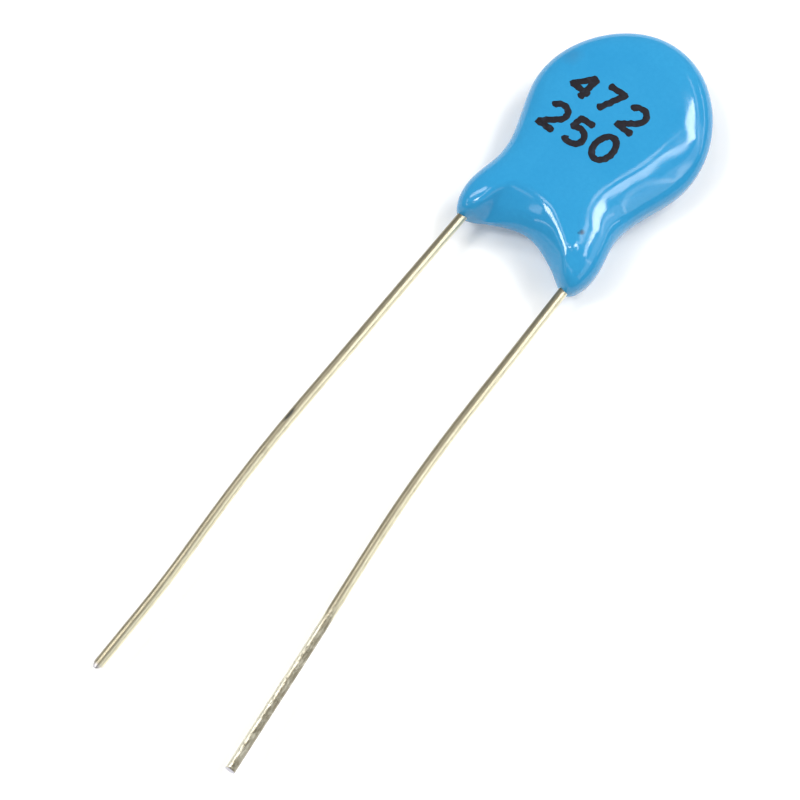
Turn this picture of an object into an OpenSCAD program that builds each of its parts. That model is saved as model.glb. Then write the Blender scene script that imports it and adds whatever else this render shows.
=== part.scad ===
// Ceramic disc capacitor with two straight wires at 7.5 mm pitch, lying on its back.
//
// A round ceramic plate carries a silver electrode on each face. One wire is soldered to each
// electrode, and a single dipped epoxy coating covers the plate and runs down over the wires.
// Below the plate the wires bend back to the middle plane, so they leave the coating level.
//
// Frame: X across the two wires, Y away from the wires, Z out of the marked face.
// Origin: the flat back face, behind the centre of the ceramic plate.

/* [Ceramic plate and electrodes] */
// Diameter of the ceramic plate
plate_diameter = 10; // [8:0.1:12]
// Thickness of the ceramic plate
plate_thickness = 1.5; // [1:0.05:2.5]
// Bare ceramic left between the edge of an electrode and the edge of the plate
electrode_margin = 0.4; // [0.2:0.05:0.8]
// Thickness of each silver electrode
electrode_thickness = 0.05; // [0.03:0.01:0.1]

/* [Wires] */
// Diameter of the wire
wire_diameter = 0.6; // [0.5:0.05:0.7]
// Distance between the two wires where they leave the coating
pitch = 7.5; // [7:0.1:8.5]
// Distance of the wires inside the sides of the plate, where they lie on the electrodes
seat_inset = 2; // [1.7:0.1:2.6]
// Radius of the bends inside the coating
kink_radius = 1.6; // [1:0.1:2.5]
// Length of the left wire below the end of the coating
free_length = 32.8; // [25:0.1:40]
// How much shorter the right wire is
right_trim = 0.25; // [0:0.05:1]
// Length of the two slanted faces that the cutter left on the end of the left wire
nip_length = 0.25; // [0.1:0.05:0.4]
// Thickness left between the slanted faces at the very end
nip_edge = 0.2; // [0.1:0.05:0.4]

/* [Bow of the wires] */
// Outward lean of the wires where they leave the coating
splay = 0.5; // [0:0.1:1.5]
// Radius of the bend that turns each wire to its lean, or from it
splay_radius = 30; // [20:1:60]
// Length of the left wire below the coating before it starts to bow
left_run = 13.3; // [10:0.1:16]
// Angle of the inward bow of the left wire
left_bow = 4.5; // [2:0.1:6]
// Radius of the inward bow of the left wire
left_bow_radius = 140; // [80:1:160]
// Straight wire between the left wire's bow and its turn back
left_rest = 0.7; // [0.5:0.1:4]
// Angle by which the left wire turns back below its bow
left_return = 3.2; // [1:0.1:5]
// Radius of the turn back of the left wire
left_return_radius = 75; // [40:1:90]
// Length of the right wire below the coating before it starts to bow
right_run = 8.3; // [5:0.1:12]
// Angle of the outward bow of the right wire
right_bow = 5.8; // [2:0.1:8]
// Radius of the outward bow of the right wire
right_bow_radius = 90; // [60:1:120]

/* [Solder] */
// Thickness of the solder over the top of a wire
solder_cover = 0.14; // [0.08:0.01:0.2]
// Width of the solder fillet where it meets the electrode
solder_foot = 1.7; // [1.4:0.1:2]
// Electrode left bare between a fillet's round ends and the edge of the electrode
solder_edge = 0.25; // [0.1:0.05:0.5]
// Bare wire above the fillet's upper end
wire_stub = 0.6; // [0.5:0.1:1]

/* [Coating] */
// Epoxy over each wire, measured square to the flat faces
face_cover = 0.45; // [0.35:0.05:0.8]
// Epoxy outside the plate at its widest
side_cover = 0.69; // [0.5:0.01:1]
// Epoxy beyond the plate at the top, where the dip coat gathered
top_cover = 1.23; // [0.7:0.01:2]
// Epoxy outside the centre line of each wire at the waist
waist_cover = 0.58; // [0.45:0.01:0.8]
// Distance of the waist below the edge of the plate
waist_drop = 0.7; // [0.5:0.1:1.2]
// Epoxy outside the centre line of each wire at the hips
hip_cover = 0.97; // [0.8:0.01:1.3]
// Distance of the hips below the waist
hip_drop = 2.8; // [2:0.1:3.5]
// Distance of the end of the coating below the hips
tip_drop = 1.9; // [1.5:0.1:2.5]
// Height of the web's middle above the end of the coating
web_rise = 1.6; // [1:0.1:2]
// Width of the rounded rim round the plate
rim_width = 3; // [2.4:0.1:3.4]
// Width of the rounded rim along the web
web_rim_width = 1; // [0.8:0.05:1.3]
// Steepness at which a face falls away on the side that has no wire under it, height over width
side_grade = 0.22; // [0.1:0.01:0.3]
// Distance inside the side edge at which that fall starts
side_slope = 2.45; // [2:0.05:3]
// Height above the plate's centre at which it starts
slope_start = 2; // [1:0.1:3]
// Distance below the waist at which it ends
slope_tail = 1.6; // [1:0.1:2]
// Length over which it deepens from its start, and over which it fades towards its end
slope_fade = 3; // [2:0.1:4]
// Steepness at which each face of the web falls towards its edge, height over width
web_grade = 0.56; // [0.3:0.01:0.6]
// Distance above the web's edge at which that fall starts, midway between the wires
web_slope = 1.66; // [1.3:0.01:1.8]
// How much higher it starts for each millimetre towards the side where the wire lies in front
web_lean = 0.3; // [0:0.01:0.35]
// Distance from the centre line of each wire at which the fall starts to fade out towards it
web_flank = 1.35; // [1:0.05:1.8]
// Thickness of the coating from front to back where it ends, inside the width of the wire
tip_thickness = 0.9; // [0.7:0.05:1.2]

/* [Hidden] */
$fn = 48;

// Levels, from the middle plane of the plate
plate_radius = plate_diameter / 2;
electrode_radius = plate_radius - electrode_margin;
electrode_face = plate_thickness / 2 + electrode_thickness;
wire_level = electrode_face + wire_diameter / 2;
half_thickness = electrode_face + wire_diameter + face_cover;

// Outline of the coating, left half the same as the right. The two faces aren't: each falls away
// on its own right side, seen from its own front, because its wire lies on the left there.
lead_x = pitch / 2;
seat_x = plate_radius - seat_inset;
disc_half_width = plate_radius + side_cover;
disc_top = plate_radius + top_cover;
waist_half_width = max(lead_x, seat_x) + waist_cover;
waist_y = -plate_radius - waist_drop;
hip_half_width = lead_x + hip_cover;
hip_y = waist_y - hip_drop;
tip_y = hip_y - tip_drop;
web_y = tip_y + web_rise;
// Height at which the coating starts to thin towards its ends
taper_y = hip_y + hip_drop / 3;
// Part of the pitch over which the web's edge is round before it runs straight
web_round = 0.4;
// Half the width over which the flat face turns into either fall
crest = 0.38;
// Distance from the middle at which the web's fall starts to reach less high, and how fast
web_shoulder = 2;
web_shoulder_fade = 2.6;
// Power of the drop that gathered at the top: 2 spreads it over the upper half, as an ellipse
// does, and 4 keeps it near the end
drop_power = 4;
// Power of the rim's profile: 2 makes an ellipse, and 3 a fuller curve with a steeper edge
rim_power = 3;

// Mesh of the coating: rays from the centre of the plate, rings from the centre to the outline.
// The rays stand close together from the inner side of a leg round to the waist.
ring_count = 22;
first_ring = 7;
web_rays = 6;
leg_rays = 32;
disc_rays = 38;
// Extra angle above the waist that the close rays still cover
waist_margin = 4;
leg_ray_start = atan2(lead_x - 2 * wire_diameter, -tip_y);
leg_ray_end = atan2(waist_half_width, -waist_y) + waist_margin;
// Times that the step is halved in the search for the outline
halvings = 24;

// ---------------------------------------------------------------- coating

// 0 at the start, 1 at the end, level at both
function ease(t) = (1 - cos(180 * max(0, min(1, t)))) / 2;

// Height of a quarter ellipse of height 1: level at the start, upright at the end
function quarter(t) = sqrt(1 - pow(max(0, min(1, t)), 2));

// Half width of the coating at height y below the centre of the plate.
// Below the hips it closes in on the middle of the wire, so that the wire comes out of its end.
function side_below(y) =
    y > waist_y
      ? disc_half_width + (waist_half_width - disc_half_width) * ease(y / waist_y)
  : y > hip_y
      ? waist_half_width + (hip_half_width - waist_half_width) * ease((waist_y - y) / hip_drop)
  : lead_x + hip_cover * quarter((hip_y - y) / tip_drop);

// Radius of the outline above the centre: a circle with a drop of epoxy gathered at the top
function top_radius(x, y) =
    disc_half_width + (disc_top - disc_half_width) * pow(y / norm([x, y]), drop_power);

// Distance inside the side edge: the round edge above the centre, the side curve below it
function inside_side(x, y) =
    y > 0 ? top_radius(x, y) - norm([x, y]) : side_below(y) - abs(x);

// Height of the web's lower edge at x: round in the middle, then straight down to the tips
function web_edge(x) =
    web_y - web_rise * (norm([x / lead_x, web_round]) - web_round)
                     / (norm([1, web_round]) - web_round);

// Share of the full section that is left at height y, 1 down to the hips
function taper(y) =
    let (end = tip_thickness / 2 / half_thickness)
    end + (1 - end) * quarter((taper_y - y) / (taper_y - tip_y));

// Height to the power of rim_power, as a share of the full section: 1 on the flat, 0 on the
// outline and less than 0 outside it
function section(x, y) =
    let (size = taper(y),
         side = max(0, 1 - inside_side(x, y) / (rim_width * size)),
         web = max(0, 1 - (y - web_edge(x)) / (web_rim_width * size)))
    1 - pow(side, rim_power) - web * web;

// 0 before the crest and rising by 1 for 1 after it, with a parabola over the crest itself
function ramp(t) = t < -crest ? 0 : t > crest ? t : pow(t + crest, 2) / (4 * crest);

// Fall of the face on the right, where it has no wire under it
function side_fall(x, y) =
    let (along = ease((slope_start - y) / slope_fade)
                 * ease((y - waist_y + slope_tail) / slope_fade))
    x > 0 ? side_grade * along * ramp(side_slope - inside_side(x, y)) : 0;

// Fall of the web between the wires. The skin stays full over each wire.
function web_fall(x, y) =
    let (start = (web_slope - web_lean * x)
                 * (1 - ease((abs(x) - web_shoulder) / web_shoulder_fade)),
         across = 1 - ease((abs(x) - lead_x + web_flank) / (web_flank - wire_diameter / 2)))
    web_grade * across * ramp(start - y + web_edge(x));

// Height of the front face above the middle plane. The back face is the same one turned over
// about Y, because its wire lies on the other side.
function face_height(x, y) =
    (half_thickness * taper(y) - side_fall(x, y) - web_fall(x, y))
    * pow(max(0, section(x, y)), 1 / rim_power);

// Distance from the centre to the outline along a ray, by halving the step
function reach(dir, inner, outer, steps) =
    let (mid = (inner + outer) / 2)
    steps < 1 ? inner
  : section(dir.x * mid, dir.y * mid) > 0 ? reach(dir, mid, outer, steps - 1)
  : reach(dir, inner, mid, steps - 1);

// Angles of the rays on the right half, measured from straight down, close together on a leg
function right_rays() = concat(
    [for (i = [0 : web_rays - 1]) leg_ray_start * i / web_rays],
    [for (i = [0 : leg_rays - 1])
        leg_ray_start + (leg_ray_end - leg_ray_start) * i / leg_rays],
    [for (i = [0 : disc_rays - 1]) leg_ray_end + (180 - leg_ray_end) * i / disc_rays]);

function all_rays() =
    let (half = right_rays())
    concat(half, [180], [for (i = [len(half) - 1 : -1 : 1]) 360 - half[i]]);

module coating_form() {
    span = disc_top + norm([hip_half_width, tip_y]);
    edge = [for (a = all_rays())
        let (dir = [sin(a), -cos(a)]) dir * reach(dir, 0, span, halvings)];
    n = len(edge);
    shares = [for (k = [first_ring : ring_count]) sin(90 * k / ring_count)];
    last = len(shares) - 1;
    // One face: its centre, then the rings outwards. The last ring is the outline itself.
    front = [for (k = [0 : last - 1], p = edge)
        [p.x * shares[k], p.y * shares[k], face_height(p.x * shares[k], p.y * shares[k])]];
    back = [for (p = front) [p.x, p.y, -face_height(-p.x, p.y)]];
    rim = [for (p = edge) [p.x, p.y, 0]];
    centres = [[0, 0, face_height(0, 0)], [0, 0, -face_height(0, 0)]];
    points = concat(front, rim, back, centres);
    back_start = (last + 1) * n;
    front_centre = back_start + last * n;
    back_centre = front_centre + 1;
    function front_at(k, i) = k * n + i % n;
    function back_at(k, i) = k == last ? last * n + i % n : back_start + k * n + i % n;
    faces = concat(
        [for (i = [0 : n - 1]) [front_centre, front_at(0, i + 1), front_at(0, i)]],
        [for (k = [0 : last - 1], i = [0 : n - 1]) each [
            [front_at(k, i), front_at(k, i + 1), front_at(k + 1, i + 1)],
            [front_at(k, i), front_at(k + 1, i + 1), front_at(k + 1, i)]]],
        [for (i = [0 : n - 1]) [back_centre, back_at(0, i), back_at(0, i + 1)]],
        [for (k = [0 : last - 1], i = [0 : n - 1]) each [
            [back_at(k, i), back_at(k + 1, i + 1), back_at(k, i + 1)],
            [back_at(k, i), back_at(k + 1, i), back_at(k + 1, i + 1)]]]);
    polyhedron(points = points, faces = faces, convexity = 6);
}

module coating() {
    color("dodgerblue")
    difference() {
        translate([0, 0, half_thickness]) coating_form();
        ceramic_disc();
        electrode(1);
        electrode(-1);
        solder_space(1);
        solder_space(-1);
        lead(1);
        lead(-1);
    }
}

// ---------------------------------------------------------------- plate and electrodes

module ceramic_disc() {
    color("tan")
    translate([0, 0, half_thickness])
        cylinder(d = plate_diameter, h = plate_thickness, center = true);
}

// face is 1 for the front and -1 for the back
module electrode(face) {
    level = face > 0 ? plate_thickness / 2 : -electrode_face;
    color("silver")
    translate([0, 0, half_thickness + level])
        cylinder(r = electrode_radius, h = electrode_thickness);
}

module front_electrode() {
    electrode(1);
}

module back_electrode() {
    electrode(-1);
}

// ---------------------------------------------------------------- wires

// Straight stretches run this far into a bend, and a bend is this much thicker than they are,
// so that the two always join up as one piece
lap = 0.02;
swell = 0.004;

// One bend of the wire: it starts upwards at the origin and turns towards the given side
module bend(angle, radius, side) {
    rotate([0, 0, side])
    translate([radius, 0, 0])
    rotate([90, 0, 0])
    rotate([0, 0, 180 - angle])
    rotate_extrude(angle = angle)
    translate([radius, 0])
        circle(d = wire_diameter + swell);
}

// Puts its children at the far end of a bend
module after_bend(angle, radius, side) {
    rotate([0, 0, side])
    translate([radius, 0, 0])
    rotate([0, angle, 0])
    translate([-radius, 0, 0])
    rotate([0, 0, -side])
        children();
}

// A wire that follows a list of steps: [straight length, bend angle, bend radius, side]
module wire(steps, i = 0) {
    if (i < len(steps)) {
        start = i > 0 ? -lap : 0;
        end = steps[i][0] + (steps[i][1] > 0 ? lap : 0);
        translate([0, 0, start])
            cylinder(d = wire_diameter, h = end - start);
        translate([0, 0, steps[i][0]]) {
            if (steps[i][1] > 0) bend(steps[i][1], steps[i][2], steps[i][3]);
            after_bend(steps[i][1], steps[i][2], steps[i][3]) wire(steps, i + 1);
        }
    }
}

// Puts its children at the far end of a wire that follows the same list of steps
module at_end(steps, i = 0) {
    if (i < len(steps))
        translate([0, 0, steps[i][0]])
        after_bend(steps[i][1], steps[i][2], steps[i][3])
            at_end(steps, i + 1) children();
    else
        children();
}

// What the cutter takes off both sides of a wire's end, which is at the origin
module nip() {
    for (side = [0, 180])
        rotate([0, 0, side])
        rotate([90, 0, 0])
        linear_extrude(2 * wire_diameter, center = true)
            polygon([
                [nip_edge / 2, 0],
                [wire_diameter / 2, -nip_length],
                [wire_diameter, -nip_length],
                [wire_diameter, lap],
                [nip_edge / 2, lap]
            ]);
}

// The fillet is as long as fits on the round electrode beside the wire
solder_reach = electrode_radius - solder_edge - solder_foot / 2;
solder_run = 2 * sqrt(solder_reach * solder_reach - seat_x * seat_x);
seat_top = solder_run / 2 + wire_stub;
// The kink that brings the wire back to the middle plane
seat_bottom = -sqrt(plate_radius * plate_radius - seat_x * seat_x) - wire_diameter / 2;
kink_end = hip_y + wire_diameter;
kink_fall = seat_bottom - kink_end;
kink_shift = norm([lead_x - seat_x, wire_level]);
kink_straight = sqrt(kink_fall * kink_fall + kink_shift * kink_shift
                     - 4 * kink_radius * kink_shift);
kink_angle = atan2(2 * kink_radius, kink_straight)
             - atan2(2 * kink_radius - kink_shift, kink_fall);
OUT = 0;
IN = 180;

left_last = free_length - left_run - left_rest
            - (left_bow_radius * left_bow + left_return_radius * left_return) * PI / 180;
right_last = free_length - right_trim - right_run - right_bow_radius * right_bow * PI / 180;

// Steps of the wire below its kink, for the left wire (front) and the right wire (back)
left_steps = [
    [left_run, left_bow, left_bow_radius, IN],
    [left_rest, left_return, left_return_radius, OUT],
    [left_last, 0, 0, 0]
];
right_steps = [
    [right_run, right_bow, right_bow_radius, OUT],
    [right_last, 0, 0, 0]
];

// All the steps of one wire, from its upper end.
// face is 1 for the left wire, on the front electrode, and -1 for the right, on the back.
function lead_steps(face) =
    let (kink_side = atan2(-wire_level, lead_x - seat_x))
    concat(
        [[seat_top - seat_bottom, kink_angle, kink_radius, kink_side],
         [kink_straight, kink_angle, kink_radius, kink_side + 180],
         [kink_end - tip_y, splay, splay_radius, OUT]],
        face > 0 ? left_steps : right_steps);

// Puts its children, drawn from a wire's upper end on the right of the front face, into place
module place_lead(face) {
    translate([0, 0, half_thickness])
    mirror([face > 0 ? 1 : 0, 0, 0])
    mirror([0, 0, face > 0 ? 0 : 1])
    translate([seat_x, seat_top, wire_level])
    rotate([90, 0, 0])
        children();
}

module lead(face) {
    place_lead(face) wire(lead_steps(face));
}

// The left wire was nipped off and has a wedge at its end. The right wire was sheared square.
module left_lead() {
    color("gainsboro")
    difference() {
        lead(1);
        place_lead(1) at_end(lead_steps(1)) nip();
    }
}

module right_lead() {
    color("gainsboro") lead(-1);
}

// ---------------------------------------------------------------- solder

// Angle above level, seen from the wire's centre, at which the round top becomes the sloping foot
solder_shoulder = 30;

// Half of the fillet's section: a round top over the wire and a sloping foot on the electrode
module solder_section() {
    middle = wire_diameter / 2;
    top = middle + solder_cover;
    intersection() {
        union() {
            translate([0, middle]) circle(r = top);
            polygon([
                [0, 0],
                [solder_foot / 2, 0],
                [top * cos(solder_shoulder), middle + top * sin(solder_shoulder)],
                [0, middle]
            ]);
        }
        square([solder_foot, middle + top]);
    }
}

// The fillet with the wire's space still in it, straight between two round ends
module solder_space(face) {
    translate([0, 0, half_thickness])
    mirror([face > 0 ? 1 : 0, 0, 0])
    mirror([0, 0, face > 0 ? 0 : 1])
    translate([seat_x, 0, electrode_face]) {
        rotate([90, 0, 0])
        translate([0, 0, -solder_run / 2])
        linear_extrude(solder_run) {
            solder_section();
            mirror([1, 0]) solder_section();
        }
        for (end = [-1, 1])
            translate([0, end * solder_run / 2, 0])
            rotate_extrude() solder_section();
    }
}

module solder(face) {
    color("lightgray")
    difference() {
        solder_space(face);
        lead(face);
    }
}

module front_solder() {
    solder(1);
}

module back_solder() {
    solder(-1);
}

coating();
ceramic_disc();
front_electrode();
back_electrode();
front_solder();
back_solder();
left_lead();
right_lead();
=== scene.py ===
# %% [markdown]
# # A ceramic disc capacitor, lying on its back
#
# The real part is a round ceramic plate with a silver layer on each face and a wire soldered to
# each layer. The whole plate is dipped once into blue epoxy, which runs down over both wires and
# sets with a glossy skin. The construction model has every solid at its real size. This script
# dresses it: it makes the skin, the wires and the printing as fine surfaces, gives every solid a
# finish, and puts the part on white paper in the light of several soft lamps.

import bpy
import numpy as np
from mathutils import Matrix, Vector


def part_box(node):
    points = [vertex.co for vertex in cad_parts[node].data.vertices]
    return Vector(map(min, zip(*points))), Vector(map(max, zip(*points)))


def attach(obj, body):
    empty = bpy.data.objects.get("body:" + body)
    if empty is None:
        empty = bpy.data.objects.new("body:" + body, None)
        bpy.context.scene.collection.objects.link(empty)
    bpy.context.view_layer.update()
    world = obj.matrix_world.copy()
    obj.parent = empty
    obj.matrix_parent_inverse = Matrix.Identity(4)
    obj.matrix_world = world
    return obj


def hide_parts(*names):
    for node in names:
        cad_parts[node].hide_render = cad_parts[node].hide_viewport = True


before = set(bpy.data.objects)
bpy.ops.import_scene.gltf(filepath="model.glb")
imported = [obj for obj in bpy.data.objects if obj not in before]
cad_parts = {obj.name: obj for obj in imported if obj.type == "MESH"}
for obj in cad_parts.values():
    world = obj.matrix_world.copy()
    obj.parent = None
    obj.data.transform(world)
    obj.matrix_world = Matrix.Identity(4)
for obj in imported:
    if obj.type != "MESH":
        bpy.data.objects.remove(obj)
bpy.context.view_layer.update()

print("nodes:", ", ".join(sorted(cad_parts)))

# %% [markdown]
# ## Sizes
#
# Blender counts in metres and a capacitor is drawn in millimetres, so every shape below is worked
# out in millimetres and made smaller by `MM` at the end. The sizes that a solid can tell are read
# from its box. The others are the ones the solids were drawn with. A drop or a rise is a distance
# from the form before it, a cover is the epoxy outside the middle of a wire, and a grade is a
# slope's height over its width.

# %% Sizes in millimetres
MM = 0.001

coat_low, coat_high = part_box("coating")
half_thickness = (coat_high.z - coat_low.z) / 2 / MM
disc_half_width = coat_high.x / MM
disc_top = coat_high.y / MM

plate_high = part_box("ceramic_disc")[1]
plate_radius = plate_high.x / MM

electrode_margin, electrode_thickness = 0.4, 0.05
wire_radius = 0.3
lead_x = 3.75
waist_drop, hip_drop, tip_drop, web_rise = 0.7, 2.8, 1.9, 1.6
waist_y = -plate_radius - waist_drop
hip_y = waist_y - hip_drop
tip_y = hip_y - tip_drop
web_y = tip_y + web_rise
waist_cover, hip_cover = 0.58, 0.97
waist_half_width = lead_x + waist_cover
rim_width, rim_power, web_rim_width = 3.0, 3, 1.0
tip_half_thickness = 0.45
side_grade, side_start = 0.22, 2.45
slope_start, slope_fade, slope_tail, tail_fade = 2.0, 3.0, 1.1, 2.5
web_grade, web_start, web_lean = 0.56, 1.66, 0.3
web_shoulder, web_shoulder_fade, web_flank = 2.0, 2.6, 1.35
crest = 0.38
print(f"coat {2 * disc_half_width:.2f} wide, {disc_top - tip_y:.2f} long, "
      f"{2 * half_thickness:.2f} thick")

# %% [markdown]
# ## From numbers to a mesh
#
# Every new surface here is a grid of points: rows that follow each other, each row a closed ring.
# A grid is closed at both ends with one point, a pole. One function makes the mesh for all of
# them, so that the faces always point outwards: it measures the volume that the faces enclose,
# and turns them all round if that volume is negative.

# %% Rings to a closed mesh
def ring_faces(rows, columns):
    """Corner numbers of the quads between closed rings: point j of ring i, its neighbour j + 1,
    and the same two points of ring i + 1. The last column joins the first."""
    i, j = np.meshgrid(np.arange(rows - 1), np.arange(columns), indexing="ij")
    here, there = i * columns, (i + 1) * columns
    following = (j + 1) % columns
    return np.stack([here + j, here + following, there + following, there + j],
                    axis=-1).reshape(-1, 4)


def pole_faces(pole, first, columns):
    """Corner numbers of the triangles from a pole to the ring that starts at point `first`."""
    j = np.arange(columns)
    return np.stack([np.full(columns, pole), first + (j + 1) % columns, first + j], axis=-1)


def enclosed_volume(points, triangles):
    """Sum over the triangles of a . (b x c) / 6, which is positive where they face outwards."""
    a, b, c = (points[triangles[:, k]] for k in range(3))
    return float(np.einsum("ij,ij->", a, np.cross(b, c)) / 6)


def grid_faces(rows, columns):
    """The quads of a grid of rings, and the triangles that join its first and its last ring to
    two poles. The poles are the two points after those of the rings."""
    pole = rows * columns
    ends = np.vstack([pole_faces(pole, 0, columns),
                      pole_faces(pole + 1, pole - columns, columns)[:, ::-1]])
    return ring_faces(rows, columns), ends


def new_object(name, data):
    """An object of the scene that holds a mesh, a lamp or a camera."""
    made = bpy.data.objects.new(name, data)
    bpy.context.scene.collection.objects.link(made)
    return made


def mesh_object(name, points, quads, ends, coordinates=None):
    """A smooth mesh object from points in millimetres, with its faces turned outwards."""
    triangles = np.vstack([quads[:, :3], quads[:, [0, 2, 3]], ends])
    volume = enclosed_volume(points, triangles)
    if volume < 0:
        quads, ends = quads[:, ::-1], ends[:, ::-1]
    mesh = bpy.data.meshes.new(name)
    mesh.from_pydata((points * MM).tolist(), [], quads.tolist() + ends.tolist())
    mesh.polygons.foreach_set("use_smooth", np.ones(len(mesh.polygons), bool))
    if coordinates is not None:
        layer = mesh.uv_layers.new(name="along_the_wire")
        layer.data.foreach_set("uv", loop_coordinates(coordinates, quads, ends).ravel())
    mesh.update()
    print(f"{name}: {len(triangles)} triangles, {abs(volume):.1f} mm3")
    return new_object(name, mesh)


def closed_piece(name, rings, start, end, coordinates=None):
    """A mesh object from an array of rings (rows, columns, 3) in millimetres and its two poles.
    `coordinates` holds one (u, v) for each point of the rings, with one more column than the
    rings have, so that the pattern doesn't run backwards over the seam."""
    points = np.vstack([rings.reshape(-1, 3), start, end])
    return mesh_object(name, points, *grid_faces(*rings.shape[:2]), coordinates)


def loop_coordinates(coordinates, quads, ends):
    """The (u, v) of every face corner. A corner in the first column takes the coordinates of the
    extra last column where its face also touches the last real column."""
    table = coordinates.reshape(-1, 2)
    wide = coordinates.shape[1]
    columns = wide - 1
    row, column = quads // columns, quads % columns
    wraps = (column.max(axis=1) == columns - 1) & (column.min(axis=1) == 0)
    column = np.where(wraps[:, None] & (column == 0), columns, column)
    ring = table[(row * wide + column).ravel()]
    last = len(table) // wide - 1
    tips = np.clip(ends, 0, (last + 1) * columns - 1)
    return np.vstack([ring, table[(tips // columns * wide + tips % columns).ravel()]])


print("a closed piece needs its rings and two poles")

# %% [markdown]
# ## The shape of the dipped coat
#
# Epoxy is thick when the plate comes out of the bath, and its own tension pulls it smooth. Over
# the plate it sets flat, the rim is round, and below the plate it hangs as a web between the
# wires with a drawn-out hip round each of them. So the form is worked out, not sculpted: the
# height of the skin at (x, y) depends on how far that spot is inside the side edge and above the
# web's edge. Each face falls away on its own right side, where the wire lies behind the plate and
# doesn't lift the skin. The back is the front turned over about Y, so one height serves both.

# %% The skin's height
def ease(t):
    """0 at the start, 1 at the end and level at both: half of (1 - cos(half a turn times t))."""
    return (1 - np.cos(np.pi * np.clip(t, 0, 1))) / 2


def quarter(t):
    """A quarter ellipse, 1 and level at the start, 0 and upright at the end."""
    return np.sqrt(1 - np.clip(t, 0, 1) ** 2)


def side_below(y):
    """Half the coat's width at height y below the plate's centre: it eases in to the waist, out
    to the hips, and then closes as a quarter ellipse on the middle of the wire."""
    to_waist = disc_half_width + (waist_half_width - disc_half_width) * ease(y / waist_y)
    to_hip = waist_half_width + (lead_x + hip_cover - waist_half_width) * ease(
        (waist_y - y) / (waist_y - hip_y))
    to_tip = lead_x + hip_cover * quarter((hip_y - y) / (hip_y - tip_y))
    return np.where(y > waist_y, to_waist, np.where(y > hip_y, to_hip, to_tip))


def inside_side(x, y):
    """Distance inside the side edge. Above the centre the edge is a circle with a drop gathered
    at the top, as the fourth power of y / r. Under it, it is the curve of `side_below`."""
    r = np.maximum(np.hypot(x, y), 1e-6)
    top_radius = disc_half_width + (disc_top - disc_half_width) * (y / r) ** 4
    return np.where(y > 0, top_radius - r, side_below(np.minimum(y, 0)) - np.abs(x))


def web_edge(x):
    """The web's lower edge: a hyperbola, round in the middle and straight towards the tips."""
    web_round = 0.4
    span = np.hypot(1, web_round) - web_round
    return web_y - (web_y - tip_y) * (np.hypot(x / lead_x, web_round) - web_round) / span


def taper(y):
    """The share of the full section that is left at height y: 1 down to a third of the way from
    the hips to the waist, and below that a quarter ellipse."""
    start = hip_y + (waist_y - hip_y) / 3
    end = tip_half_thickness / half_thickness
    return end + (1 - end) * quarter((start - y) / (start - tip_y))


def section(x, y):
    """1 on the flat, 0 on the outline and less outside it: 1 minus the cube of how far the spot
    is into the side's rim and the square of how far it is into the web's rim."""
    size = taper(y)
    side = np.maximum(0, 1 - inside_side(x, y) / (rim_width * size))
    web = np.maximum(0, 1 - (y - web_edge(x)) / (web_rim_width * size))
    return 1 - side ** rim_power - web ** 2


def ramp(t):
    """0 before the crest and rising by 1 for 1 after it, with a parabola over the crest itself:
    the square of (t + crest) over 4 times crest."""
    return np.where(t < -crest, 0, np.where(t > crest, t, (t + crest) ** 2 / (4 * crest)))


def side_fall(x, y):
    """How far the right side falls away, where no wire lifts the skin: a slope that starts some
    way inside the edge, deepens from a little above the centre down and fades out past the
    waist."""
    along = ease((slope_start - y) / slope_fade) * ease((y - waist_y + slope_tail) / tail_fade)
    return np.where(x > 0, side_grade * along * ramp(side_start - inside_side(x, y)), 0)


def web_fall(x, y):
    """How far the web between the wires falls towards its edge: a slope that starts higher up on
    the left, where the wire lies in front, and leaves the skin full at the wires."""
    start = (web_start - web_lean * x) * (1 - ease((np.abs(x) - web_shoulder) / web_shoulder_fade))
    across = 1 - ease((np.abs(x) - lead_x + web_flank) / (web_flank - wire_radius))
    return web_grade * across * ramp(start - y + web_edge(x))


def skin_height(x, y):
    """Height of the front skin over the middle plane: the cube root of the section times the
    level there. The back is the same form turned over about Y, so it takes this at -x."""
    level = half_thickness * taper(y) - side_fall(x, y) - web_fall(x, y)
    return level * np.maximum(0, section(x, y)) ** (1 / rim_power)


print("height in the middle, on the rim and at a wire:",
      [round(float(skin_height(x, y)), 2) for x, y in ((0, 0), (5.4, 0), (lead_x, -9.8))])

# %% [markdown]
# ## The coat as a mesh
#
# Rays run from the middle of the plate to the outline, and rings of points lie on the rays. The
# outline has no formula of its own, so each ray's end is found by halving the step: all rays at
# once, as one array. The rays are then spread again so that their ends are evenly spaced along
# the outline, and the rings lie closer together towards the edge, where the skin turns over.

# %% Make the coat
def on_rays(angle, distance):
    """x and y at a distance from the centre along each angle, measured from straight down."""
    return np.sin(angle) * distance, -np.cos(angle) * distance


def outline_reach(angle, beyond=20.0, halvings=40):
    """Distance from the centre to the outline along each angle. The outline lies somewhere before
    `beyond`, and each step halves the stretch that it can be in: the outer half is kept where the
    section is positive in the middle, and the inner half otherwise."""
    inner, outer = np.zeros_like(angle), np.full_like(angle, beyond)
    for _ in range(halvings):
        middle = (inner + outer) / 2
        inside = section(*on_rays(angle, middle)) > 0
        inner, outer = np.where(inside, middle, inner), np.where(inside, outer, middle)
    return inner


def travelled(path):
    """The distance along a path of points to each of them, 0 at the first."""
    return np.concatenate([[0], np.cumsum(np.linalg.norm(np.diff(path, axis=0), axis=1))])


def even_angles(count, divisions=6000):
    """Angles whose rays end at equal distances along the outline: the length along a finely
    divided outline is turned round with an interpolation."""
    fine = np.linspace(0, 2 * np.pi, divisions + 1)
    length = travelled(np.stack(on_rays(fine, outline_reach(fine)), axis=-1))
    return np.interp(np.linspace(0, length[-1], count, endpoint=False), length, fine)


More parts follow.
